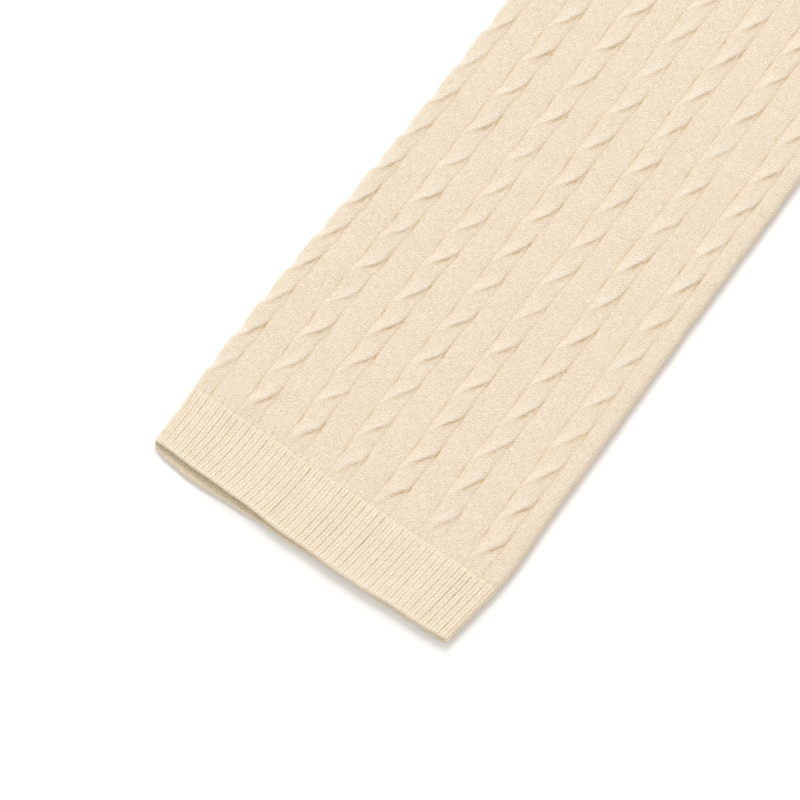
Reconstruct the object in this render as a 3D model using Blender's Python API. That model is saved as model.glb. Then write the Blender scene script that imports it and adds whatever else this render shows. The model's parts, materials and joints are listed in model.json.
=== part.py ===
"""A pair of cable-knit leg warmers, laid flat side by side.

Each leg warmer is a flat-laid tube: a front and a back panel, and a 1x1 rib cuff at both ends,
each of two panels as well. The tubes run along Y with the lower cuff at -Y, and rest on z = 0.
All lengths are in metres.
"""
import math
from collections import namedtuple

import bmesh
import bpy
import numpy as np

# Driving dimensions
LEG_LENGTH = 0.420
BODY_WIDTH = 0.130
CUFF_HEIGHT = 0.025
PAIR_GAP = 0.150
WALL = 0.0017
SEAM_GAP = 0.0003

# Cables, each of two strands that cross at an even pitch
CABLE_COUNT = 7
CABLE_PITCH = 0.0191
FIRST_CABLE = 0.0041
CABLE_HALF_WIDTH = 0.0044
CABLE_RELIEF = 0.0012
CROSSING_PITCH = 0.01675
FIRST_CROSSING = 0.0359
CROSSING_SHARE = 0.62

# Ribs of the cuffs
RIB_COUNT = 50
RIB_RELIEF = 0.0005
RIBS_PER_INNER_SPAN = 1
CUFF_ROWS = 3
BACK_COLUMNS = 10

# Colours in linear RGB, and the finish
BODY_COLOUR = (0.87, 0.77, 0.60, 1.0)
CUFF_COLOUR = (0.85, 0.75, 0.57, 1.0)
KNIT_ROUGHNESS = 0.9

# The flat outline: distance from the lower cuff's end, and both edges from the centre line
Outline = namedtuple("Outline", "along left right")
OUTLINE = (
    Outline(0.000, -0.0640, 0.0618),
    Outline(0.012, -0.0645, 0.0634),
    Outline(0.028, -0.0653, 0.0654),
    Outline(0.060, -0.0650, 0.0650),
    Outline(0.090, -0.0648, 0.0650),
    Outline(0.120, -0.0634, 0.0646),
    Outline(0.200, -0.0624, 0.0645),
    Outline(0.320, -0.0628, 0.0645),
    Outline(0.380, -0.0648, 0.0650),
    Outline(0.396, -0.0650, 0.0650),
    Outline(0.408, -0.0643, 0.0640),
    Outline(0.420, -0.0636, 0.0630),
)

# The mouth of a cuff: share of the way across, how far the ribs lean sideways there, how far the
# front's and the back's edge stand out past the cuff's end, and how far the front lifts
Mouth = namedtuple("Mouth", "across lean front_out back_out lift")
LOWER_MOUTH = (
    Mouth(0.00, 0.0000, 0.0000, 0.0004, 0.0000),
    Mouth(0.12, -0.0014, 0.0000, 0.0014, 0.0009),
    Mouth(0.30, -0.0020, 0.0004, 0.0018, 0.0012),
    Mouth(0.48, -0.0010, 0.0013, 0.0018, 0.0006),
    Mouth(0.68, -0.0004, 0.0018, 0.0014, 0.0003),
    Mouth(0.86, 0.0000, 0.0008, 0.0010, 0.0003),
    Mouth(1.00, 0.0000, 0.0000, 0.0002, 0.0000),
)
UPPER_MOUTH = (
    Mouth(0.00, 0.0000, 0.0000, 0.0000, 0.0000),
    Mouth(0.35, 0.0006, 0.0006, 0.0010, 0.0004),
    Mouth(0.70, 0.0003, 0.0002, 0.0008, 0.0006),
    Mouth(1.00, 0.0000, 0.0000, 0.0000, 0.0000),
)

# A cable's slanted rows: share of the pitch past the groove, and share of the relief. The groove
# is low, the strand that crosses over it rises steeply, and then sinks towards the next groove.
CableRow = namedtuple("CableRow", "phase height")
CABLE_ROWS = (
    CableRow(0.00, 0.25),
    CableRow(0.30, 1.00),
    CableRow(0.66, 0.80),
)

# Sizes that follow from the ones above
LEG_CENTRE = (BODY_WIDTH + PAIR_GAP) / 2
FRONT_INNER = WALL + SEAM_GAP
FOLD_ARC = WALL * math.pi / 2
FOLD_MIDDLE = WALL * (1 - math.cos(math.pi / 4))
STRAND_OFFSET = CABLE_HALF_WIDTH / 2
CABLE_SLANT = CROSSING_SHARE * CROSSING_PITCH / CABLE_HALF_WIDTH
BODY_LOW = CUFF_HEIGHT + SEAM_GAP / 2
BODY_HIGH = LEG_LENGTH - BODY_LOW
CUFF_REACH = CUFF_HEIGHT - SEAM_GAP / 2
END_MARGIN = 0.001


def read_table(table, at):
    """A row of the table at any value of its first column, on a smooth curve through its rows."""
    keys = np.array([row[0] for row in table])
    values = np.array([row[1:] for row in table])
    slopes = np.gradient(values, keys, axis=0)
    at = min(max(at, keys[0]), keys[-1])
    low = min(int(np.searchsorted(keys, at, side="right")) - 1, len(keys) - 2)
    span = keys[low + 1] - keys[low]
    share = (at - keys[low]) / span
    rest = 1 - share
    row = values[low] * (1 + 2 * share) * rest**2 + values[low + 1] * (3 - 2 * share) * share**2
    row += slopes[low] * span * share * rest**2 - slopes[low + 1] * span * rest * share**2
    return type(table[0])(at, *row)


def fold_place(along, share):
    """Where a share of the way over a panel lies: across, height, and the outward direction.

    The way goes from the left seam, round the fold, over the flat and down to the right seam.
    Height is measured from the panel's inner face.
    """
    edge = read_table(OUTLINE, along)
    whole = edge.right - edge.left + 2 * (FOLD_ARC - WALL)
    gone = share * whole
    to_go = whole - gone
    if gone < FOLD_ARC:
        sine, cosine = math.sin(gone / WALL), math.cos(gone / WALL)
        return edge.left + WALL * (1 - cosine), WALL * sine, -cosine, sine
    if to_go < FOLD_ARC:
        sine, cosine = math.sin(to_go / WALL), math.cos(to_go / WALL)
        return edge.right - WALL * (1 - cosine), WALL * sine, cosine, sine
    return edge.left + WALL + gone - FOLD_ARC, WALL, 0.0, 1.0


def share_across(from_left):
    """Share of the way over a panel at a distance in from the body's left edge."""
    return (from_left + FOLD_ARC - WALL) / (BODY_WIDTH + 2 * (FOLD_ARC - WALL))


def cable_columns():
    """Columns of the body's front: share of the way over, offset from a cable, share of relief."""
    columns = [(0.0, 0.0, 0.0), (share_across(FOLD_MIDDLE), 0.0, 0.0)]
    for number in range(CABLE_COUNT):
        centre = FIRST_CABLE + number * CABLE_PITCH
        for step in (-2, -1, 0, 1, 2):
            offset = step * STRAND_OFFSET
            if centre + offset < FOLD_MIDDLE:
                continue
            inside = abs(step) < 2
            columns.append((share_across(centre + offset), offset * inside, float(inside)))
    columns.append((share_across(BODY_WIDTH - WALL), 0.0, 0.0))
    columns.append((share_across(BODY_WIDTH - FOLD_MIDDLE), 0.0, 0.0))
    columns.append((1.0, 0.0, 0.0))
    return columns


def cable_rows():
    """Rows of the body's front between its ends: distance along, and share of the relief."""
    rows = []
    crossing = FIRST_CROSSING - CROSSING_PITCH
    while crossing < BODY_HIGH:
        for row in CABLE_ROWS:
            along = crossing + row.phase * CROSSING_PITCH
            slant_reach = STRAND_OFFSET * CABLE_SLANT
            if BODY_LOW + slant_reach / 2 < along < BODY_HIGH - slant_reach / 2:
                rows.append((along, row.height))
        crossing += CROSSING_PITCH
    return rows


def closed_panel(name, outer, inner, stops):
    """A closed mesh between a grid of outer points and the plainer inner face under it.

    Both grids share the panel's two side edges. stops numbers the outer columns over which the
    inner columns lie, the two sides among them.
    """
    mesh = bmesh.new()
    top = [[mesh.verts.new(point) for point in row] for row in outer]
    bottom = [
        [upper[0]] + [mesh.verts.new(point) for point in row] + [upper[-1]]
        for upper, row in zip(top, inner)
    ]
    for low, high in zip(top, top[1:]):
        for column in range(len(low) - 1):
            mesh.faces.new((low[column], low[column + 1], high[column + 1], high[column]))
    for low, high in zip(bottom, bottom[1:]):
        for column in range(len(low) - 1):
            mesh.faces.new((low[column], high[column], high[column + 1], low[column + 1]))
    for end in (0, -1):
        for column, (start, stop) in enumerate(zip(stops, stops[1:])):
            ring = top[end][start:stop + 1] + bottom[end][column:column + 2][::-1]
            corners = list(dict.fromkeys(ring))
            mesh.faces.new(corners if end else corners[::-1])
    bmesh.ops.triangulate(mesh, faces=mesh.faces[:])
    bmesh.ops.recalc_face_normals(mesh, faces=mesh.faces[:])
    data = bpy.data.meshes.new(name)
    mesh.to_mesh(data)
    mesh.free()
    return data


def body_front():
    """The body's top panel, with its cables raised in the outer points over a flat inner face."""
    columns = cable_columns()
    outer = []
    for along, relief in [(BODY_LOW, 0.0)] + cable_rows() + [(BODY_HIGH, 0.0)]:
        row = []
        for share, offset, raised in columns:
            slanted = along
            if BODY_LOW < along < BODY_HIGH:
                slanted = along + offset * CABLE_SLANT
                slanted = min(max(slanted, BODY_LOW + END_MARGIN), BODY_HIGH - END_MARGIN)
            across, height, sideways, upwards = fold_place(slanted, share)
            proud = CABLE_RELIEF * relief * raised
            row.append(
                (
                    across + sideways * proud,
                    slanted,
                    FRONT_INNER + height + upwards * proud,
                )
            )
        outer.append(row)
    return closed_panel("body_front", outer, [[] for _ in outer], [0, len(columns) - 1])


def body_back():
    """The body's lower panel, flat where it rests, with its inner face upwards."""
    shares = [0.0, share_across(FOLD_MIDDLE), share_across(WALL)]
    shares += [1 - share for share in reversed(shares)]
    outer = []
    for row in OUTLINE:
        along = min(max(row.along, BODY_LOW), BODY_HIGH)
        if outer and along <= outer[-1][0][1]:
            continue
        places = [fold_place(along, share) for share in shares]
        outer.append([(across, along, WALL - height) for across, height, _, _ in places])
    return closed_panel("body_back", outer, [[] for _ in outer], [0, len(shares) - 1])


def cuff_panel(name, mouth_table, far_end, is_front):
    """One panel of a rib cuff, from its mouth to the seam that joins it to the body."""
    columns = 2 * RIB_COUNT if is_front else BACK_COLUMNS
    step = 2 * RIBS_PER_INNER_SPAN if is_front else 1
    stops = list(range(0, columns + 1, step))
    outer = []
    inner = []
    for number in range(CUFF_ROWS):
        inward = number / (CUFF_ROWS - 1)
        near_mouth = (1 - inward) ** 2
        row = []
        under = []
        for column in range(columns + 1):
            mouth = read_table(mouth_table, column / columns)
            out = mouth.front_out if is_front else mouth.back_out
            from_end = CUFF_REACH * inward - out * near_mouth
            along = LEG_LENGTH - from_end if far_end else from_end
            across, height, sideways, upwards = fold_place(along, column / columns)
            across += mouth.lean * near_mouth
            lift = mouth.lift * near_mouth
            if not is_front:
                row.append((across, along, WALL - height))
                under.append((across, along, WALL))
                continue
            proud = RIB_RELIEF * (column % 2)
            row.append(
                (
                    across + sideways * proud,
                    along,
                    FRONT_INNER + lift + height + upwards * proud,
                )
            )
            under.append((across, along, FRONT_INNER + lift))
        outer.append(row)
        inner.append([under[stop] for stop in stops[1:-1]])
    return closed_panel(name, outer, inner, stops)


def knit_material(name, colour):
    """Matt wool knit of one colour."""
    material = bpy.data.materials.new(name)
    material.use_nodes = True
    shader = material.node_tree.nodes["Principled BSDF"]
    shader.inputs["Base Color"].default_value = colour
    shader.inputs["Roughness"].default_value = KNIT_ROUGHNESS
    shader.inputs["Metallic"].default_value = 0.0
    return material


def clear_scene():
    for thing in list(bpy.data.objects):
        bpy.data.objects.remove(thing, do_unlink=True)


def add_leg(side, centre, panels):
    """One leg warmer: an empty at its middle on the floor, and a named object for each panel."""
    leg = bpy.data.objects.new(side + "_leg_warmer", None)
    leg.location = (centre, 0.0, 0.0)
    bpy.context.scene.collection.objects.link(leg)
    for panel, data in panels.items():
        piece = bpy.data.objects.new(side + "_" + panel, data)
        piece.parent = leg
        piece.location = (0.0, -LEG_LENGTH / 2, 0.0)
        bpy.context.scene.collection.objects.link(piece)


clear_scene()
body_knit = knit_material("cream cable knit", BODY_COLOUR)
cuff_knit = knit_material("cream rib knit", CUFF_COLOUR)
leg_panels = {
    "body_front": body_front(),
    "body_back": body_back(),
    "lower_cuff_front": cuff_panel("lower_cuff_front", LOWER_MOUTH, False, True),
    "lower_cuff_back": cuff_panel("lower_cuff_back", LOWER_MOUTH, False, False),
    "upper_cuff_front": cuff_panel("upper_cuff_front", UPPER_MOUTH, True, True),
    "upper_cuff_back": cuff_panel("upper_cuff_back", UPPER_MOUTH, True, False),
}
for panel_name, panel_mesh in leg_panels.items():
    panel_mesh.materials.append(cuff_knit if "cuff" in panel_name else body_knit)
add_leg("left", -LEG_CENTRE, leg_panels)
add_leg("right", LEG_CENTRE, leg_panels)
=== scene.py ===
import json
import math
from collections import namedtuple

import bpy
import numpy as np
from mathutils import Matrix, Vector


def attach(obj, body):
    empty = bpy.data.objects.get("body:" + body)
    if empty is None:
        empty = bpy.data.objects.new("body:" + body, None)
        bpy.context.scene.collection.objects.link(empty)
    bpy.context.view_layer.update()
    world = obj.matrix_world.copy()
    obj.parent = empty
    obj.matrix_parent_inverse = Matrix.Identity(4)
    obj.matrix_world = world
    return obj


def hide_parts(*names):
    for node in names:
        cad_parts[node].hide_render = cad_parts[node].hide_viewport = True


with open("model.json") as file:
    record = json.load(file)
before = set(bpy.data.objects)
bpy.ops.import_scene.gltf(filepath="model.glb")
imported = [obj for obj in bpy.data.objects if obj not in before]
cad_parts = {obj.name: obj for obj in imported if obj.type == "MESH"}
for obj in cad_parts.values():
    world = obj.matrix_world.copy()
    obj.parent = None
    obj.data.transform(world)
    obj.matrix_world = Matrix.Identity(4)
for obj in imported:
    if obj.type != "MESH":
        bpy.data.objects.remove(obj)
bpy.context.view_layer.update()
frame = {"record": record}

# PAIR: the two leg warmers lie side by side, and each one is measured in metres, across from its
# own centre line and along from its lower cuff's end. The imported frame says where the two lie: its
# mounts are the middles of their undersides.
LEGS = {
    mount["name"].split("_")[0]: Vector(mount["pos_m"])
    for mount in frame["record"]["mounts"]
}
LEG_LENGTH = 0.420
CUFF_HEIGHT = 0.025


# BODY: a tube of fine wool-blend stockinette, knitted in one with seven two-strand cables on the
# front and seven on the back, lying flat so that its two layers touch. The yarn is lightly brushed.
# It is knitted on to the cuffs at both ends, so nothing but the loops holds it there.

# The flat outline: distance from the lower cuff's end, and both side edges from the centre line
Outline = namedtuple("Outline", "along left right")
OUTLINE = (
    Outline(0.000, -0.0644, 0.0618),
    Outline(0.012, -0.0645, 0.0634),
    Outline(0.028, -0.0653, 0.0654),
    Outline(0.060, -0.0653, 0.0650),
    Outline(0.090, -0.0650, 0.0650),
    Outline(0.120, -0.0637, 0.0646),
    Outline(0.200, -0.0629, 0.0645),
    Outline(0.320, -0.0632, 0.0645),
    Outline(0.380, -0.0648, 0.0650),
    Outline(0.396, -0.0650, 0.0650),
    Outline(0.408, -0.0643, 0.0640),
    Outline(0.420, -0.0636, 0.0630),
)

# One layer's thickness, the folds at both sides, the way round the front, and the gap at the seams
BODY_WIDTH = 0.130
WALL = 0.0017
FOLD_RADIUS = 0.00185
FOLD_ARC = FOLD_RADIUS * math.pi / 2
FRONT_WAY = BODY_WIDTH + 2 * (FOLD_ARC - FOLD_RADIUS)
HAIR_GAP = 0.000005

# A stitch of this yarn is a V of two legs, wider than it is high
WALE = 0.00175
COURSE = 0.00140

# The cables: their places round the tube, their soft section, and how far from a seam they reach
# their full height. The shade and highlight painted on them are full MARKS_SOONER times nearer to
# it.
CABLE_COUNT = 7
CABLE_PITCH = 0.0193
FIRST_CABLE = 0.0030 + FOLD_ARC - FOLD_RADIUS
FIRST_BACK_CABLE = 0.0068
CABLE_CENTRES = [
    first + number * CABLE_PITCH
    for first in (FIRST_CABLE, FRONT_WAY + FIRST_BACK_CABLE)
    for number in range(CABLE_COUNT)
]
CABLE_HALF_WIDTH = 0.00405
CABLE_RELIEF = 0.00066
CABLE_ROUNDNESS = 2.4
CABLE_START = 0.010
MARKS_SOONER = 3

# The groove beside a cable. On the left it is deepest late in a crossing, on the right at its start
Groove = namedtuple("Groove", "least phase length")
LEFT_GROOVE = Groove(0.40, 0.80, 0.15)
RIGHT_GROOVE = Groove(0.30, 0.04, 0.20)
GROOVE_DEPTH = 0.00025
GROOVE_HALF_WIDTH = 0.00030

# The plain panels between the cables, the slow waves of the cloth, and its pressed underside
PANEL_CROWN = 0.00015
WAVE_HEIGHT = 0.00012
WAVE_LENGTH = 0.018
UNDERSIDE_LIFT = 0.00045

# An uneven wave is the sum of a few plain ones: how many, how far their lengths differ, and how
# tall the sum is. Each use has its own seed, so every run gives the same cloth.
RIPPLE_WAVES = 7
RIPPLE_STRETCH = (0.6, 1.6)
RIPPLE_HEIGHT = 4
WAVE_SEED = 5
SWAY_SEED = 11
STRAY_SEED = 17
RAG_SEED = 19
UNEVEN_SEED = 23

# Where the strands cross: closer near the cuffs, which draw the cloth in, and in rows that follow
# the courses, which bow up towards both folds and lie a little askew where the tube is widest
CROSSING_PITCH = 0.01697
FIRST_CROSSING = 0.0306
CUFF_CLOSING = 0.06
COURSE_BOW = 1.16
BOW_MIDDLE = 0.055
COURSE_SKEW = 0.038

# A strand: its slant across the cable, the shares of a crossing in which it rises and is level, and
# how low it gets from the cable's left side to its right one
STRAND_SLANT = 1.65
STRAND_BEND = 0.0006
STRAND_RISE = 0.10
STRAND_LEVEL = 0.18
LEFT_LOW = 0.84
RIGHT_LOW = 0.34
LOW_MIDDLE = 0.38
LOW_STEEPNESS = 1.2
LEFT_DIP = 0.30
DIP_STEEPNESS = 1.3
DIP_PHASE = 0.5
DIP_LENGTH = 0.17

# The line where one strand dives under the next: its dent, the wider shade round it, and how far
# it strays, frays, grows and shrinks from one crossing to another
LINE_HALF_WIDTH = 0.00042
SHADE_HALF_WIDTH = 0.00080
LINE_DEPTH = 0.00014
LINE_STRAY = 0.0006
STRAY_LENGTH = 0.02
LINE_RAG = 0.00016
RAG_LENGTH = 0.0024
UNEVEN_SHARE = 0.30
UNEVEN_LENGTH = 0.03
RIPPLE_APART = 0.05

# How far a whole cable sways sideways
CABLE_SWAY = 0.00035
SWAY_LENGTH = 0.05
SWAY_APART = 0.1

# How far the left fold swells and shrinks with the strands of the cable beside it, and how much
# sooner it falls in than it comes out
FOLD_SWELL = 0.00045
SWELL_LEAD = 0.0048
SWELL_LEAN = 0.9

# How dark the shade painted on the lines between strands, in the grooves and inside is. A strand's
# top gets a painted highlight where it has just come up, and none after the share of a crossing
# given last.
LINE_PAINTED_SHADE = 0.55
GROOVE_PAINTED_SHADE = 0.62
INSIDE_PAINTED_SHADE = 0.28
STRAND_PAINTED_HIGHLIGHT = 0.45
STRAND_HIGHLIGHT_END = 0.45

# Where the mesh has its columns, from a cable's middle, and its rows, in shares of a crossing
FRONT_STEPS = (
    0, 0.0008, 0.0016, 0.0023, 0.0029, 0.0034, 0.0038, 0.00415, 0.0045, 0.0049, 0.0068, 0.00955
)
BACK_STEPS = (0, 0.0022, 0.0037, 0.0046, 0.00955)
FOLD_SHARES = (0, 1 / 3, 2 / 3, 1)
CLOSEST_COLUMNS = 0.00022
ROW_PHASES = (0, 0.02, 0.05, 0.085, 0.13, 0.19, 0.27, 0.36, 0.47, 0.59, 0.71, 0.82, 0.91, 0.97)
INNER_ROWS = 12
SHARP_ANGLE = math.radians(75)

# At a seam the rows are level and END_ROW_STEP apart. They slant more and more up to SLANT_START
# from it, and from there on they lie along the strands.
SLANT_START = 0.032
END_ROW_STEP = 0.0005
LINE_KNOTS = 17
ROW_PLACES = 1000

# The loops of the yarn, in stitches: the slant of their legs, and how much of their height comes
# and goes with the rows. Tufts of fibre are drawn 0.5 mm wide, coarser than one real fibre, because
# those don't show. Streaks along the yarn are in stitches, and cloudy patches in metres.
LOOP_SLANT = -1.6
ROW_SHARE = 0.35
FIBRE_SIZE = 0.0005
FIBRE_RELIEF = 3.0
STREAK_SIZE = 0.5
STREAK_LENGTH = 2.0
CLOUD_SIZE = 0.012

# How much each of these lightens the yarn, and how streaks break up the painted shade
TONE_START = -1.70
FIBRE_TONE = 2.8
STREAK_TONE = 1.4
CLOUD_TONE = 0.2
BREAK_START = -2.0
BREAK_STRENGTH = 6.0

# How far the cuff's ribs run on into the body: their count across the front, the widths of their
# valleys, in ribs, their lengths, in courses, how deep they are, and how dark the shade painted in
# them is
RIB_COUNT = 50
RIBS_A_STITCH = WALE * RIB_COUNT / FRONT_WAY
RUN_OUT_WIDTH = 0.18
SHORTEST_RUN_OUT = 0.5
LONGEST_RUN_OUT = 4.0
RUN_OUT_DEPTH = 1.2
RUN_OUT_PAINTED_SHADE = 0.30

# Fibre ends on the skin, drawn about twice as thick as real ones so that they show. None stand on
# the underside, where the cloth faces the floor.
FIBRE_RADIUS = 0.00003
FIBRE_LEAN = 0.55
SHORTEST_FIBRE = 0.35
FIBRE_SHORTNESS = 1.5
NAP_LOWEST = -0.3
BODY_FIBRES = 14000
BODY_FIBRE_LENGTH = 0.0013
BODY_FIBRE_SEED = 31


def table_column(table, column, at):
    """One named column of a table at any values of its first, on a smooth curve through its rows."""
    keys = np.array([row[0] for row in table])
    values = np.array([getattr(row, column) for row in table])
    slopes = np.gradient(values, keys)
    at = np.clip(at, keys[0], keys[-1])
    low = np.clip(np.searchsorted(keys, at, side="right") - 1, 0, len(keys) - 2)
    span = keys[low + 1] - keys[low]
    share = (at - keys[low]) / span
    rest = 1 - share
    curve = values[low] * (1 + 2 * share) * rest**2 + values[low + 1] * (3 - 2 * share) * share**2
    return curve + span * share * rest * (slopes[low] * rest - slopes[low + 1] * share)


def crossings_passed(along):
    """How many crossings lie below a distance along a line of loops; they close up to the cuffs."""
    turn = 2 * math.pi / LEG_LENGTH
    closing = CUFF_CLOSING / turn * (np.sin(turn * along) - math.sin(turn * FIRST_CROSSING))
    return (along - FIRST_CROSSING + closing) / CROSSING_PITCH


def course_drift(way, along):
    """How far the courses run ahead at a way round the tube, from the left fold."""
    across = np.minimum(way, 2 * FRONT_WAY - way)
    skew = COURSE_SKEW * (across - FRONT_WAY / 2) * np.cos(2 * math.pi * along / LEG_LENGTH)
    return COURSE_BOW * (across - BOW_MIDDLE) ** 2 - skew


def smooth_step(share):
    """A soft step that is 0 up to 0 and 1 from 1 on."""
    share = np.clip(share, 0, 1)
    return share * share * (3 - 2 * share)


def from_seam(along):
    """Distance into the body from its nearer seam, which is below 0 in the cuffs."""
    return np.minimum(along - CUFF_HEIGHT, LEG_LENGTH - CUFF_HEIGHT - along)


def tube_place(along, turn):
    """Point and outward direction on the flat-laid tube.

    turn runs once round the tube from the left fold: 0 to 1 over the front, 1 to 2 under the back.
    """
    front = turn <= 1
    share = np.where(front, turn, 2 - turn)
    beat = 2 * math.pi * crossings_passed(along - course_drift(0, along) + SWELL_LEAD)
    swell = np.cos(beat + SWELL_LEAN * (1 - np.cos(beat)))
    swell = FOLD_SWELL * swell * smooth_step(from_seam(along) / CABLE_START)
    left = table_column(OUTLINE, "left", along) - swell
    right = table_column(OUTLINE, "right", along)
    way = right - left + 2 * (FOLD_ARC - FOLD_RADIUS)
    gone = share * way
    to_go = way - gone
    left_angle = np.clip(gone / FOLD_RADIUS, 0, math.pi / 2)
    right_angle = np.clip(to_go / FOLD_RADIUS, 0, math.pi / 2)
    across = np.where(
        gone < to_go,
        left + FOLD_RADIUS * (1 - np.cos(left_angle)) + np.maximum(gone - FOLD_ARC, 0),
        right - FOLD_RADIUS * (1 - np.cos(right_angle)) - np.maximum(to_go - FOLD_ARC, 0),
    )
    up = np.minimum(np.sin(left_angle), np.sin(right_angle))
    sideways = np.where(gone < to_go, -np.cos(left_angle), np.cos(right_angle))
    upwards = np.where(front, up, -up)
    point = np.stack([across, along, FOLD_RADIUS * (1 + upwards)], axis=-1)
    outward = np.stack([sideways, np.zeros_like(across), upwards], axis=-1)
    return point, outward


def ripple(across, along, size, seed):
    """A smooth, uneven wave between about -1 and 1, whose humps are about size apart."""
    draw = np.random.RandomState(seed)
    total = np.zeros(np.broadcast(across, along).shape)
    for _ in range(RIPPLE_WAVES):
        angle = draw.uniform(0, 2 * math.pi)
        stretch = draw.uniform(*RIPPLE_STRETCH)
        phase = draw.uniform(0, 2 * math.pi)
        reach = (np.cos(angle) * across + np.sin(angle) * along) * 2 * math.pi * stretch / size
        total = total + np.sin(reach + phase)
    return total / RIPPLE_HEIGHT


def laid(point, outward, relief):
    """Relief of a skin that lies on the floor: slightly wavy, and pressed level on the underside."""
    relief = relief + WAVE_HEIGHT * ripple(point[..., 0], point[..., 1], WAVE_LENGTH, WAVE_SEED)
    pressed = np.minimum(relief, UNDERSIDE_LIFT) - UNDERSIDE_LIFT
    under = np.clip(-outward[..., 2], 0, 1) ** 2
    return relief * (1 - under) + pressed * under


def hump(place, middle, half_width):
    """A soft hump: 1 in its middle, about a third at its half width, and soon 0 beyond."""
    return np.exp(-(((place - middle) / half_width) ** 2))


def crown(offset, half_width, power):
    """Section of a soft ridge: level in the middle, and falling to 0 at its sides."""
    return np.clip(1 - np.abs(offset / half_width) ** power, 0, 1)


def strand_line(offset):
    """Where the S-shaped line between two strands lies along the cable, and its slope there."""
    share = np.clip(offset / CABLE_HALF_WIDTH, -1, 1)
    ahead = CABLE_HALF_WIDTH * STRAND_SLANT * share + STRAND_BEND * share**5
    return ahead, STRAND_SLANT + 5 * STRAND_BEND / CABLE_HALF_WIDTH * share**4


def cable(offset, along, number):
    """Relief of one cable at an offset from its middle, and the shade and highlight painted on it.

    Each strand in turn comes up steeply over the other along an S-shaped line, then sinks slowly
    until the next one covers it. The line is deep on the right and nearly lost on the left, where
    the strand instead dips halfway to the next crossing.
    """
    own = number * RIPPLE_APART
    stray = LINE_STRAY * ripple(own, along, STRAY_LENGTH, STRAY_SEED)
    uneven = 1 + UNEVEN_SHARE * ripple(own, along, UNEVEN_LENGTH, UNEVEN_SEED)
    ahead, slope = strand_line(offset)
    ragged = LINE_RAG * ripple(offset + own, along, RAG_LENGTH, RAG_SEED)
    level = along - ahead - stray - ragged
    centre = CABLE_CENTRES[number]
    below = level - course_drift(centre, level - course_drift(centre, level))
    phase = crossings_passed(below)
    phase = phase - np.floor(phase)
    share = offset / CABLE_HALF_WIDTH
    low = LEFT_LOW + (RIGHT_LOW - LEFT_LOW) * smooth_step(LOW_MIDDLE + LOW_STEEPNESS * share)
    risen = smooth_step(phase / STRAND_RISE)
    height = low + (1 - low) * risen * (1 - smooth_step((phase - STRAND_LEVEL) / (1 - STRAND_LEVEL)))
    height -= LEFT_DIP * smooth_step(-DIP_STEEPNESS * share) * hump(phase, DIP_PHASE, DIP_LENGTH)
    off_line = np.minimum(phase, 1 - phase) * CROSSING_PITCH / np.hypot(1, slope)
    strength = (1 - low) / (1 - RIGHT_LOW) * uneven
    dent = hump(off_line, 0, LINE_HALF_WIDTH) * strength
    shade = hump(off_line, 0, SHADE_HALF_WIDTH) * strength
    section = crown(offset, CABLE_HALF_WIDTH, CABLE_ROUNDNESS)
    left = hump(phase, LEFT_GROOVE.phase, LEFT_GROOVE.length)
    left = LEFT_GROOVE.least + (1 - LEFT_GROOVE.least) * left
    right = hump(phase - np.round(phase), RIGHT_GROOVE.phase, RIGHT_GROOVE.length)
    right = RIGHT_GROOVE.least + (1 - RIGHT_GROOVE.least) * right
    groove = hump(np.abs(offset), CABLE_HALF_WIDTH, GROOVE_HALF_WIDTH)
    groove = groove * np.where(offset < 0, left, right)
    relief = section * (CABLE_RELIEF * uneven * height - LINE_DEPTH * dent) - GROOVE_DEPTH * groove
    # A painted highlight on a strand's top where it has just come up; painted shade on the line and
    # in the grooves
    strand_highlight = STRAND_PAINTED_HIGHLIGHT * section * risen * (1 - smooth_step((phase - STRAND_RISE) / STRAND_HIGHLIGHT_END))
    return relief, LINE_PAINTED_SHADE * shade * np.sqrt(section) + GROOVE_PAINTED_SHADE * groove * uneven - strand_highlight


def row_slant(way, along):
    """How far a row of the mesh runs ahead, so that it lies along the strands of each cable."""
    offsets = np.linspace(-CABLE_HALF_WIDTH, CABLE_HALF_WIDTH, LINE_KNOTS)
    knots = [centre + offset for centre in CABLE_CENTRES for offset in offsets]
    ahead = np.tile(strand_line(offsets)[0], len(CABLE_CENTRES))
    ahead = np.interp(way, knots, ahead, period=2 * FRONT_WAY)
    sides = [centre + offset for centre in CABLE_CENTRES for offset in offsets[[0, -1]]]
    middles = np.repeat([min(centre, 2 * FRONT_WAY - centre) for centre in CABLE_CENTRES], 2)
    return ahead + course_drift(np.interp(way, sides, middles, period=2 * FRONT_WAY), along)


def body_columns():
    """Turns round the tube at which the mesh has a column: close at each cable, wide between."""
    turns = [FOLD_ARC * share for share in FOLD_SHARES]
    turns += [FRONT_WAY - FOLD_ARC * share for share in FOLD_SHARES]
    turns += [FRONT_WAY + FOLD_ARC * share for share in FOLD_SHARES]
    turns += [2 * FRONT_WAY - FOLD_ARC * share for share in FOLD_SHARES]
    for number, centre in enumerate(CABLE_CENTRES):
        steps = FRONT_STEPS if number < CABLE_COUNT else BACK_STEPS
        turns += [centre + way * step for step in steps for way in (-1, 1)]
    kept = [0.0]
    for turn in sorted(turns):
        if turn - kept[-1] > CLOSEST_COLUMNS and turn < 2 * FRONT_WAY - CLOSEST_COLUMNS:
            kept.append(turn)
    return np.array(kept) / FRONT_WAY


def body_rows(low, high):
    """Distances along the body of the mesh's rows: where a strand comes up, and at both ends."""
    ends = np.arange(0, SLANT_START, END_ROW_STEP)
    places = np.linspace(low, high, ROW_PLACES)
    passed = crossings_passed(places)
    phases = [number + phase for number in range(math.ceil(passed[-1])) for phase in ROW_PHASES]
    rows = np.interp(phases, passed, places)
    rows = [row for row in rows if low + SLANT_START < row < high - SLANT_START]
    return np.concatenate([low + ends, rows, high - ends[::-1]])


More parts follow.
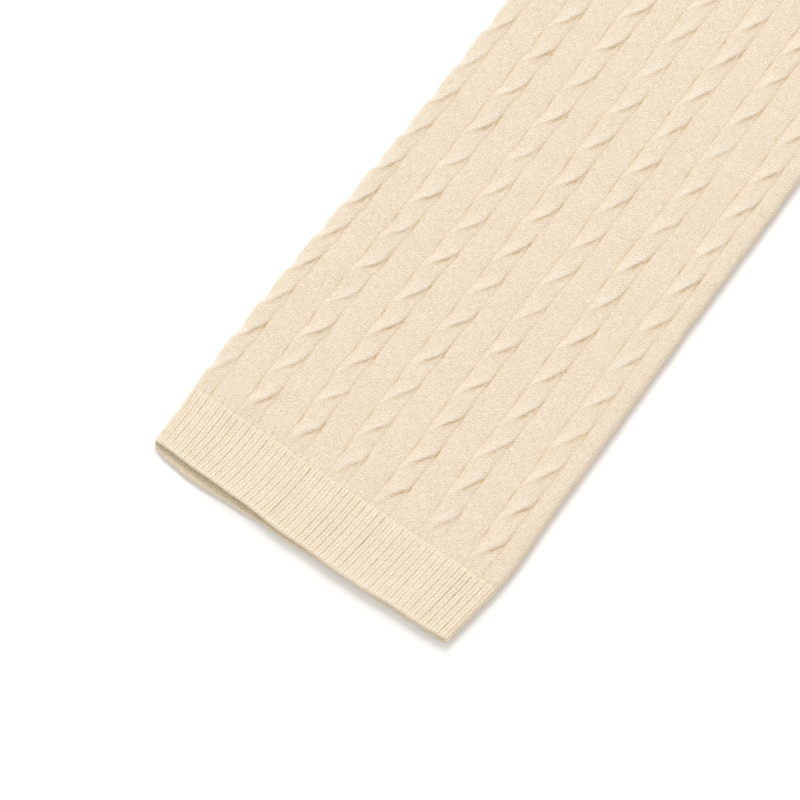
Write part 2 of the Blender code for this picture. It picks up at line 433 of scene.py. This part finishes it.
def body_grid(along, turn):
    """Outer points of the body, and the shade painted on each, or below 0 the highlight."""
    point, outward = tube_place(along, turn)
    way = turn * FRONT_WAY
    relief = np.zeros(way.shape)
    dark = np.zeros(way.shape)
    nearest = np.full(way.shape, CABLE_PITCH)
    for number, centre in enumerate(CABLE_CENTRES):
        sway = CABLE_SWAY * ripple(number * SWAY_APART, along, SWAY_LENGTH, SWAY_SEED)
        offset = way - centre - sway
        offset = (offset + FRONT_WAY) % (2 * FRONT_WAY) - FRONT_WAY
        raised, darkened = cable(offset, along, number)
        relief += raised
        dark += darkened
        nearest = np.minimum(nearest, np.abs(offset))
    between = np.clip((nearest - CABLE_HALF_WIDTH) / (CABLE_PITCH / 2 - CABLE_HALF_WIDTH), 0, 1)
    relief += PANEL_CROWN * np.sin(between * math.pi / 2)
    relief = laid(point, outward, relief * smooth_step(from_seam(along) / CABLE_START))
    dark = dark * smooth_step(MARKS_SOONER * from_seam(along) / CABLE_START)
    return point + outward * relief[..., None], dark


def knit_tube(name, points, stitches, painted_shade_and_highlight):
    """A closed mesh from rings of points that run outside, round one end, inside and back.

    stitches holds each point's place counted in stitches, with one column more than points, and
    the last argument gives each point's painted shade, where it lies deep between its neighbours,
    or below 0 its painted highlight.
    """
    rings, columns = points.shape[:2]
    ring, column = np.meshgrid(np.arange(rings), np.arange(columns), indexing="ij")
    next_ring = (ring + 1) % rings
    next_column = (column + 1) % columns
    corners = ((ring, column), (ring, next_column), (next_ring, next_column), (next_ring, column))
    faces = np.stack([a * columns + b for a, b in corners], axis=-1).reshape(-1, 4)
    mesh = bpy.data.meshes.new(name)
    mesh.from_pydata(points.reshape(-1, 3), [], faces)
    mesh.polygons.foreach_set("use_smooth", np.ones(len(faces), dtype=bool))
    places = ((ring, column), (ring, column + 1), (next_ring, column + 1), (next_ring, column))
    spread = np.stack([stitches[a, b] for a, b in places], axis=2).reshape(-1)
    mesh.uv_layers.new(name="stitches").data.foreach_set("uv", spread)
    # A colour mask: painted shade, and below 0 painted highlight
    mesh.attributes.new("painted_shade_and_highlight", "FLOAT", "POINT").data.foreach_set("value", painted_shade_and_highlight.reshape(-1))
    mesh.update()
    mesh.set_sharp_from_angle(angle=SHARP_ANGLE)
    return mesh


def body_tube():
    """The whole body as one closed tube, and its outer points, which carry the nap."""
    low = CUFF_HEIGHT + HAIR_GAP
    high = LEG_LENGTH - CUFF_HEIGHT - HAIR_GAP
    turns = np.append(body_columns(), 2.0)
    turn, along = np.meshgrid(turns, body_rows(low, high))
    slanting = smooth_step((along - low) / SLANT_START) * smooth_step((high - along) / SLANT_START)
    along = along + row_slant(turn * FRONT_WAY, along) * slanting
    outer, dark = body_grid(along, turn)
    _, outward = tube_place(along, turn)
    inner_turn, inner_along = np.meshgrid(turns, np.linspace(high, low, INNER_ROWS))
    middle, inner_outward = tube_place(inner_along, inner_turn)
    inner = middle - inner_outward * WALL
    every_turn = np.concatenate([turn, inner_turn])
    every_along = np.concatenate([along, inner_along])
    # The inside rings all get the same painted shade
    mesh = knit_tube(
        "cable knit body",
        np.concatenate([outer, inner])[:, :-1],
        np.stack([every_turn * FRONT_WAY / WALE, every_along / COURSE], axis=-1),
        np.concatenate([dark, np.full(inner_turn.shape, INSIDE_PAINTED_SHADE)])[:, :-1],
    )
    return mesh, outer, outward


def linear(hex_colour):
    """Linear RGBA of an sRGB hex colour."""
    shades = [int(hex_colour[start:start + 2], 16) / 255 for start in (1, 3, 5)]
    return [s / 12.92 if s <= 0.04045 else ((s + 0.055) / 1.055) ** 2.4 for s in shades] + [1.0]


def add_node(tree, kind, settings=(), links=()):
    """A node with its settings, and with its inputs given as values or as other nodes' outputs."""
    node = tree.nodes.new(kind)
    for name, value in dict(settings).items():
        setattr(node, name, value)
    for socket, value in dict(links).items():
        if isinstance(value, bpy.types.NodeSocket):
            tree.links.new(value, node.inputs[socket])
        else:
            node.inputs[socket].default_value = value
    return node


def brushed_wool_knit(name, light, dark, painted_shade_colour, loop_depth, loop_painted_shade, ribs_a_stitch):
    """Matt, softly hairy yarn in V-shaped loops, with highlights painted on the loops and shade
    between.

    The loops follow the tube's stitch numbers, so each V has its real width and height. Where
    ribs_a_stitch isn't 0, the cuffs' valleys run on from both ends, that many of them to a stitch.
    """
    material = bpy.data.materials.new(name)
    material.use_nodes = True
    tree = material.node_tree
    shader = tree.nodes["Principled BSDF"]

    def math_node(operation, first, second=0.0, third=0.0):
        links = {0: first, 1: second, 2: third}
        return add_node(tree, "ShaderNodeMath", {"operation": operation}, links).outputs[0]

    place = add_node(tree, "ShaderNodeUVMap", {"uv_map": "stitches"})
    split = add_node(tree, "ShaderNodeSeparateXYZ", links={0: place.outputs[0]})
    side = math_node("PINGPONG", split.outputs[0], 0.5)
    legs = math_node("SINE", math_node("MULTIPLY", side, 2 * math.pi))
    slanted = math_node("MULTIPLY_ADD", side, LOOP_SLANT, split.outputs[1])
    rows = math_node("SINE", math_node("MULTIPLY", slanted, 2 * math.pi))
    rows = math_node("MULTIPLY_ADD", rows, ROW_SHARE, 1 - ROW_SHARE)
    loops = math_node("MULTIPLY", legs, rows)

    metres = add_node(tree, "ShaderNodeTexCoord")
    fibres = add_node(
        tree,
        "ShaderNodeTexNoise",
        links={"Vector": metres.outputs["Object"], "Scale": 1 / FIBRE_SIZE, "Detail": 3.0},
    )
    stretched = add_node(
        tree,
        "ShaderNodeVectorMath",
        {"operation": "MULTIPLY"},
        {0: place.outputs[0], 1: (1 / STREAK_SIZE, 1 / STREAK_LENGTH, 1.0)},
    )
    streaks = add_node(
        tree,
        "ShaderNodeTexNoise",
        links={"Vector": stretched.outputs[0], "Scale": 1.0, "Detail": 3.0, "Roughness": 0.6},
    )
    clouds = add_node(
        tree,
        "ShaderNodeTexNoise",
        links={"Vector": metres.outputs["Object"], "Scale": 1 / CLOUD_SIZE, "Detail": 2.0},
    )
    # The mesh's mask of painted shade, and below 0 of painted highlight
    painted_shade_and_highlight = add_node(tree, "ShaderNodeAttribute", {"attribute_name": "painted_shade_and_highlight"}).outputs["Fac"]
    height = math_node("MULTIPLY_ADD", fibres.outputs["Fac"], FIBRE_RELIEF, loops)
    if ribs_a_stitch:
        place = math_node("MULTIPLY", split.outputs[0], ribs_a_stitch)
        number = math_node("FLOOR", math_node("ADD", place, 0.5))
        chance = add_node(tree, "ShaderNodeTexWhiteNoise", {"noise_dimensions": "1D"}, {"W": number})
        reach = math_node("MULTIPLY_ADD", chance.outputs[0], LONGEST_RUN_OUT, SHORTEST_RUN_OUT)
        from_low = math_node("SUBTRACT", split.outputs[1], CUFF_HEIGHT / COURSE)
        from_high = math_node("SUBTRACT", (LEG_LENGTH - CUFF_HEIGHT) / COURSE, split.outputs[1])
        gone = math_node("DIVIDE", math_node("MINIMUM", from_low, from_high), reach)
        left = math_node("MAXIMUM", math_node("SUBTRACT", 1.0, gone), 0.0)
        aside = math_node("DIVIDE", math_node("PINGPONG", place, 0.5), RUN_OUT_WIDTH)
        valley = math_node("MAXIMUM", math_node("SUBTRACT", 1.0, aside), 0.0)
        run_out = math_node("MULTIPLY", valley, left)
        height = math_node("MULTIPLY_ADD", run_out, -RUN_OUT_DEPTH, height)
        # Painted shade in the valleys where the ribs run out
        painted_shade_and_highlight = math_node("MULTIPLY_ADD", run_out, RUN_OUT_PAINTED_SHADE, painted_shade_and_highlight)
    bump = add_node(
        tree,
        "ShaderNodeBump",
        links={"Strength": 1.0, "Distance": loop_depth, "Height": height},
    )
    tone = math_node("MULTIPLY_ADD", fibres.outputs["Fac"], FIBRE_TONE, TONE_START)
    tone = math_node("MULTIPLY_ADD", streaks.outputs["Fac"], STREAK_TONE, tone)
    tone = math_node("MULTIPLY_ADD", clouds.outputs["Fac"], CLOUD_TONE, tone)
    # Painted shade between the loops and a painted highlight on them
    tone = math_node("MULTIPLY_ADD", loops, loop_painted_shade, tone)
    # Painted highlights, where the mask is below 0, lighten the yarn
    tone = math_node("SUBTRACT", tone, math_node("MINIMUM", painted_shade_and_highlight, 0.0))
    yarn = add_node(
        tree,
        "ShaderNodeMix",
        {"data_type": "RGBA", "clamp_factor": True},
        {0: tone, 6: linear(dark), 7: linear(light)},
    )

    # Single loops cover the shade painted in a hollow in places, so it shows as short strokes along
    # the columns
    broken = math_node("MULTIPLY_ADD", streaks.outputs["Fac"], BREAK_STRENGTH, BREAK_START)
    painted_shade_and_highlight = math_node("MULTIPLY", painted_shade_and_highlight, math_node("MAXIMUM", broken, 0.0))
    # The painted shade darkens the yarn towards its shade colour
    painted_shade_mix = add_node(
        tree,
        "ShaderNodeMix",
        {"data_type": "RGBA", "clamp_factor": True},
        {0: painted_shade_and_highlight, 6: yarn.outputs[2], 7: linear(painted_shade_colour)},
    )
    tree.links.new(painted_shade_mix.outputs[2], shader.inputs["Base Color"])
    tree.links.new(bump.outputs[0], shader.inputs["Normal"])
    shader.inputs["Roughness"].default_value = 0.92
    shader.inputs["Specular IOR Level"].default_value = 0.2
    shader.inputs["Sheen Weight"].default_value = 0.25
    shader.inputs["Sheen Roughness"].default_value = 0.5
    shader.inputs["Sheen Tint"].default_value = linear("#FFF3DE")
    return material


def nap(name, outer, outward, rings_share, count, longest, seed):
    """Short fibre ends that stand off a knitted skin, as one mesh of closed three-sided spikes.

    rings_share says how likely a fibre is to stand in each ring of the skin's points.
    """
    draw = np.random.RandomState(seed)
    rings, columns = outer.shape[:2]

    # Wider columns and taller rings get more fibres, as measured along one ring and one column
    widths = np.linalg.norm(np.diff(outer[rings // 2], axis=0), axis=-1)
    widths = widths * (outward[0, :-1, 2] > NAP_LOWEST)
    column = draw.choice(columns - 1, size=count, p=widths / widths.sum())
    heights = np.linalg.norm(np.diff(outer[:, columns // 4], axis=0), axis=-1) * rings_share[:-1]
    ring = draw.choice(rings - 1, size=count, p=heights / heights.sum())

    # Each one's foot lies anywhere in its cell, just under the skin, and its stem leans any way
    over, up = draw.rand(2, count, 1)
    foot = outer[ring, column] * (1 - over) * (1 - up) + outer[ring, column + 1] * over * (1 - up)
    foot += outer[ring + 1, column] * (1 - over) * up + outer[ring + 1, column + 1] * over * up
    stem = outward[ring, column] + draw.normal(0, FIBRE_LEAN, size=(count, 3))
    stem /= np.linalg.norm(stem, axis=-1, keepdims=True)
    length = longest * draw.uniform(SHORTEST_FIBRE, 1.0, size=(count, 1)) ** FIBRE_SHORTNESS
    aside = np.cross(stem, draw.normal(size=(count, 3)))
    aside /= np.linalg.norm(aside, axis=-1, keepdims=True)
    across = np.cross(stem, aside)
    foot -= outward[ring, column] * FIBRE_RADIUS
    corners = [
        foot + FIBRE_RADIUS * (aside * math.cos(angle) + across * math.sin(angle))
        for angle in (0, 2 * math.pi / 3, 4 * math.pi / 3)
    ]
    points = np.stack(corners + [foot + stem * length], axis=1).reshape(-1, 3)
    start = np.arange(count)[:, None, None] * 4
    faces = (start + np.array([(0, 1, 3), (1, 2, 3), (2, 0, 3), (0, 2, 1)])).reshape(-1, 3)
    mesh = bpy.data.meshes.new(name)
    mesh.from_pydata(points, [], faces)
    mesh.update()
    return mesh


def lay_piece(side, name, mesh, material):
    """An object of one leg warmer, laid at its place and riding on the part's one body."""
    mesh.materials.clear()
    mesh.materials.append(material)
    piece = bpy.data.objects.new(side + "_" + name, mesh)
    bpy.context.scene.collection.objects.link(piece)
    piece.location = LEGS[side] - Vector((0, LEG_LENGTH / 2, 0))
    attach(piece, "root")
    return piece


body_mesh, body_skin, body_outward = body_tube()

# The body's wool is cream, with beige shade painted between its loops and strands. It gives the eye
# a soft, matt cloth, whose cables show by their warm painted shade lines more than by their cast
# shadows.
body_wool = brushed_wool_knit(
    "brushed wool stockinette",
    light="#F2E6D4",
    dark="#E1CEB2",
    painted_shade_colour="#CDB086",
    loop_depth=0.00012,
    loop_painted_shade=0.25,
    ribs_a_stitch=RIBS_A_STITCH,
)

# Loose fibres have the wool's middle tones and no loops of their own. They soften every edge.
fibre_wool = brushed_wool_knit(
    "loose wool fibres",
    light="#F1E5D3",
    dark="#EADAC2",
    painted_shade_colour="#EADAC2",
    loop_depth=0.00003,
    loop_painted_shade=0,
    ribs_a_stitch=0,
)
body_fibres = nap(
    "fibres of the body",
    body_skin,
    body_outward,
    np.ones(len(body_skin)),
    BODY_FIBRES,
    BODY_FIBRE_LENGTH,
    BODY_FIBRE_SEED,
)
for side in LEGS:
    fibres = lay_piece(side, "body_nap", body_fibres, fibre_wool)
    body = lay_piece(side, "body", body_mesh, body_wool)
    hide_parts(side + "_body_front", side + "_body_back")


# CUFFS: a band of 1x1 rib at each end, knitted from the same yarn on smaller needles, so that its
# ridges stand close. The lower one opens a little where its front is drawn back from the floor,
# and shows the inside, which has warm shade painted on it. Each is one tube with a rounded edge,
# joined to the body by its loops.

# A rib: its courses, how far it rises and sinks, and how dark the shade painted in its valleys is.
# The widths of its valley and of the fine dent along its ridge are shares of a rib.
RIB_COURSE = 0.00118
RIB_RISE = 0.00014
RIB_SINK = 0.00018
VALLEY_WIDTH = 0.11
RIDGE_DENT = 0.38
RIDGE_DENT_WIDTH = 0.09
INNER_RIB = 0.00012
RIB_PAINTED_SHADE = 0.45
FAINTEST_RIB = 0.3

# How the ribs differ: how far below the seam they start, and how deep each is along its way
RIB_FADE = 0.0010
LATEST_RIB = 0.0009
RIB_STRENGTHS = (0.65, 1.2)
STRENGTH_LIMITS = (0.2, 1.4)
RIB_UNEVEN = 0.25
RIB_UNEVEN_LENGTH = 0.008
RIBS_APART = 0.02
RIB_SEED = 41

# The rounded edge, where the ribs fade into loops with a painted highlight. It waves slowly, every
# few ribs.
EDGE_BAND = 0.0024
EDGE_RIBS = 0.20
EDGE_PAINTED_HIGHLIGHT = 0.45
SCALLOP = 0.00015
EDGE_STRAY = 0.0003
EDGE_STRAY_RIBS = 9.0

# Places across one rib where the mesh has a column, finer on the front, and the rows of the tube
FRONT_RIB_STEPS = (0.00, 0.07, 0.13, 0.20, 0.31, 0.42, 0.50, 0.58, 0.69, 0.80, 0.87, 0.93)
BACK_RIB_STEPS = (0.00, 0.18, 0.50, 0.82)
SEAM_ROWS = (0.0, 0.0003, 0.0006, 0.0009, 0.0012, 0.0016, 0.0020)
AFTER_SEAM = 0.0006
OUTER_ROWS = 14
LIP_ROWS = 7
CUFF_INNER_ROWS = 6

# The nap, which stands closest on the rounded edge
CUFF_FIBRES = 4200
CUFF_FIBRE_LENGTH = 0.0012
CUFF_FIBRE_SEED = 43
LIP_CROWDING = 9.0

# The mouth of a cuff: share of the way across, how far the ribs lean sideways there, how far the
# front's and the back's edge stand out past the cuff's end, and how far the front lifts
Mouth = namedtuple("Mouth", "across lean front_out back_out lift")
MOUTHS = {
    "lower_cuff": (
        Mouth(0.00, 0.0000, -0.0008, -0.0006, 0.0000),
        Mouth(0.05, -0.0006, -0.0005, 0.0016, 0.0004),
        Mouth(0.12, -0.0014, -0.0002, 0.0030, 0.0007),
        Mouth(0.30, -0.0020, 0.0004, 0.0026, 0.0009),
        Mouth(0.48, -0.0010, 0.0013, 0.0020, 0.0005),
        Mouth(0.68, -0.0004, 0.0018, 0.0014, 0.0003),
        Mouth(0.86, 0.0000, 0.0008, 0.0012, 0.0003),
        Mouth(1.00, 0.0000, 0.0000, 0.0006, 0.0000),
    ),
    "upper_cuff": (
        Mouth(0.00, 0.0000, 0.0000, 0.0000, 0.0000),
        Mouth(0.35, 0.0006, 0.0006, 0.0010, 0.0004),
        Mouth(0.70, 0.0003, 0.0002, 0.0008, 0.0006),
        Mouth(1.00, 0.0000, 0.0000, 0.0000, 0.0000),
    ),
}


def rib(place):
    """Height at a place counted in ribs: 1 on a ridge and 0 in a valley.

    A fine dent runs along each ridge, where the two legs of its loops meet.
    """
    off = np.abs(place - np.floor(place) - 0.5)
    return 1 - hump(off, 0.5, VALLEY_WIDTH) - RIDGE_DENT * hump(off, 0, RIDGE_DENT_WIDTH)


def cuff_tube(name, mouth, far_end, seed):
    """A rib cuff as one closed tube: its outside, rounded edge and inside in rings.

    It also gives the outer points and directions that carry the nap, from the seam to the edge.
    """
    ribs = range(RIB_COUNT)
    front = [(number + step) / RIB_COUNT for number in ribs for step in FRONT_RIB_STEPS]
    back = [1 + (number + step) / RIB_COUNT for number in ribs for step in BACK_RIB_STEPS]
    turns = np.array(front + back + [2.0])

    # The rings' distances from the cuff's end, and their depth, from 0 outside to 1 inside
    reach = CUFF_HEIGHT - HAIR_GAP
    lip = np.linspace(0, math.pi, LIP_ROWS + 2)[1:-1]
    outside = np.linspace(reach - SEAM_ROWS[-1] - AFTER_SEAM, WALL / 2, OUTER_ROWS)
    outside = np.concatenate([reach - np.array(SEAM_ROWS), outside])
    inside = np.linspace(WALL / 2, reach, CUFF_INNER_ROWS)
    from_end = np.concatenate([outside, WALL / 2 * (1 - np.sin(lip)), inside])
    depth = np.concatenate([np.zeros(len(outside)), (1 - np.cos(lip)) / 2, np.ones(len(inside))])
    turn, from_end = np.meshgrid(turns, from_end)
    depth = depth[:, None]

    across_share = np.where(turn <= 1, turn, 2 - turn)
    to_fold = np.minimum(across_share, 1 - across_share) * FRONT_WAY
    upwards = np.sin(np.clip(to_fold / FOLD_RADIUS, 0, math.pi / 2)) * np.where(turn <= 1, 1, -1)
    upper = (1 + upwards) / 2
    near_mouth = np.clip(1 - from_end / reach, 0, 1) ** 2

    # No two ribs are alike. All of them start below the seam and fade into the rounded edge.
    place = turn * RIB_COUNT
    draw = np.random.RandomState(seed)
    nearest_valley = np.round(place).astype(int) % (2 * RIB_COUNT)
    late = LATEST_RIB * draw.rand(2 * RIB_COUNT)[nearest_valley]
    strength = draw.uniform(*RIB_STRENGTHS, 2 * RIB_COUNT)[nearest_valley]
    uneven = ripple(place * RIBS_APART, from_end, RIB_UNEVEN_LENGTH, seed + 1)
    strength = strength * (1 + RIB_UNEVEN * uneven)
    height = 1 - (1 - rib(place)) * np.clip(strength, *STRENGTH_LIMITS)
    near_edge = 1 - smooth_step(from_end / EDGE_BAND)
    shown = smooth_step((reach - from_end - late) / RIB_FADE) * (1 - (1 - EDGE_RIBS) * near_edge)

    # How far the mouth's edge stands out, which dies away towards the seam
    out = table_column(mouth, "back_out", across_share) * (1 - upper)
    out = out + table_column(mouth, "front_out", across_share) * upper
    out = out + SCALLOP * (height - 0.5) + EDGE_STRAY * ripple(place, 0.0, EDGE_STRAY_RIBS, seed)
    along = from_end - out * near_mouth
    end_way = -1.0
    if far_end:
        along = LEG_LENGTH - along
        end_way = 1.0

    point, outward = tube_place(along, turn)
    skin = laid(point, outward, ((RIB_RISE + RIB_SINK) * height - RIB_SINK) * shown)
    lining = -WALL - INNER_RIB * (1 - height)
    point = point + outward * (skin * (1 - depth) + lining * depth)[..., None]
    point[..., 0] += table_column(mouth, "lean", across_share) * near_mouth
    lift = table_column(mouth, "lift", across_share) * near_mouth
    point[..., 2] += lift * upper

    # The nap points away from the skin, and along the leg where the edge turns in
    facing = outward * (1 - 2 * depth)[..., None]
    facing[..., 1] += end_way * np.sqrt(np.clip(1 - (1 - 2 * depth) ** 2, 0, 1))

    # Painted shade in the rib valleys, fainter where a rib hasn't started, a painted highlight along
    # the rounded edge, and even painted shade inside
    seen = FAINTEST_RIB + (1 - FAINTEST_RIB) * shown
    painted_shade_and_highlight = (1 - height) * seen * RIB_PAINTED_SHADE - EDGE_PAINTED_HIGHLIGHT * near_edge
    painted_shade_and_highlight = painted_shade_and_highlight * (1 - depth) + INSIDE_PAINTED_SHADE * depth
    stitches = np.stack([place - 0.5, along / RIB_COURSE], axis=-1)
    skin_rings = len(outside) + LIP_ROWS // 2 + 1
    rings = slice(None) if far_end else slice(None, None, -1)
    mesh = knit_tube(name, point[rings, :-1], stitches[rings], painted_shade_and_highlight[rings, :-1])
    return mesh, point[:skin_rings], facing[:skin_rings]


# The cuffs' wool is a shade paler than the body's, with greyer beige shade painted in the valleys
# between ribs. It gives the eye clear, close stripes without hard cast shadows.
cuff_wool = brushed_wool_knit(
    "brushed wool rib",
    light="#F6EBD7",
    dark="#E6D3B6",
    painted_shade_colour="#CCBC98",
    loop_depth=0.00012,
    loop_painted_shade=0.35,
    ribs_a_stitch=0,
)
for cuff_name, mouth_table in MOUTHS.items():
    at_far_end = cuff_name == "upper_cuff"
    cuff_mesh, cuff_skin, cuff_outward = cuff_tube(cuff_name, mouth_table, at_far_end, RIB_SEED)
    crowding = np.ones(len(cuff_skin))
    crowding[-(LIP_ROWS // 2 + 1):] = LIP_CROWDING
    cuff_fibres = nap(
        "fibres of the " + cuff_name,
        cuff_skin,
        cuff_outward,
        crowding,
        CUFF_FIBRES,
        CUFF_FIBRE_LENGTH,
        CUFF_FIBRE_SEED,
    )
    for side in LEGS:
        fibres = lay_piece(side, cuff_name + "_nap", cuff_fibres, fibre_wool)
        cuff = lay_piece(side, cuff_name, cuff_mesh, cuff_wool)
        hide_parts(side + "_" + cuff_name + "_front", side + "_" + cuff_name + "_back")


# FLOOR: a plain white studio table, matt, so that it only takes the soft shadow beside the cloth.
FLOOR_SIZE = 6.0
floor_mesh = bpy.data.meshes.new("floor")
floor_corners = [(-1, -1), (1, -1), (1, 1), (-1, 1)]
floor_corners = [(x * FLOOR_SIZE / 2, y * FLOOR_SIZE / 2, 0) for x, y in floor_corners]
floor_mesh.from_pydata(floor_corners, [], [(0, 1, 2, 3)])
floor = bpy.data.objects.new("floor", floor_mesh)
floor.location.z = -HAIR_GAP
bpy.context.scene.collection.objects.link(floor)

# The paint gives the eye a clean, nearly white ground with no gloss, which leaves the cream to the
# cloth alone
table_paint = bpy.data.materials.new("matt white table paint")
table_paint.use_nodes = True
paint_shader = table_paint.node_tree.nodes["Principled BSDF"]
paint_shader.inputs["Base Color"].default_value = linear("#FAFAFA")
paint_shader.inputs["Roughness"].default_value = 0.95
paint_shader.inputs["Specular IOR Level"].default_value = 0.1
floor_mesh.materials.append(table_paint)


# LIGHT AND CAMERA: one large soft lamp from beyond the far end and to the left, slightly warm white
# light from all round (its colour is linear), and a long lens that looks down on the lower cuff of
# the left leg warmer.
KEY_DIRECTION = Vector((-0.46, 0.66, 0.76))
KEY_DISTANCE = 6.4
KEY_SIZE = 3.0
KEY_POWER = 228.0
FILL_STRENGTH = 0.78
FILL_COLOUR = (1.0, 0.969, 0.932, 1.0)

CAMERA_AZIMUTH = math.radians(35.5)
CAMERA_ELEVATION = math.radians(68.0)
CAMERA_DISTANCE = 1.243
CAMERA_LENS = 158.5
AIM_FROM_CUFF = Vector((-0.0039, 0.0641, 0.0))

aim = LEGS["left"] - Vector((0, LEG_LENGTH / 2, 0)) + AIM_FROM_CUFF
key = bpy.data.lights.new("key", "AREA")
key.shape = "SQUARE"
key.size = KEY_SIZE
key.energy = KEY_POWER
key_lamp = bpy.data.objects.new("key", key)
key_lamp.location = aim + KEY_DIRECTION.normalized() * KEY_DISTANCE
key_lamp.rotation_euler = (-KEY_DIRECTION).to_track_quat("-Z", "Y").to_euler()
bpy.context.scene.collection.objects.link(key_lamp)

surroundings = bpy.data.worlds.new("white studio")
surroundings.use_nodes = True
sky = surroundings.node_tree.nodes["Background"]
sky.inputs["Color"].default_value = FILL_COLOUR
sky.inputs["Strength"].default_value = FILL_STRENGTH
bpy.context.scene.world = surroundings
bpy.context.scene.view_settings.view_transform = "Standard"

lens = bpy.data.cameras.new("camera")
lens.lens = CAMERA_LENS
lens.sensor_width = 36.0
camera = bpy.data.objects.new("camera", lens)
sideways = math.sin(CAMERA_AZIMUTH) * math.cos(CAMERA_ELEVATION)
backwards = math.cos(CAMERA_AZIMUTH) * math.cos(CAMERA_ELEVATION)
view_from = Vector((sideways, -backwards, math.sin(CAMERA_ELEVATION)))
camera.location = aim + view_from * CAMERA_DISTANCE
camera.rotation_euler = (-view_from).to_track_quat("-Z", "Y").to_euler()
bpy.context.scene.collection.objects.link(camera)
bpy.context.scene.camera = camera
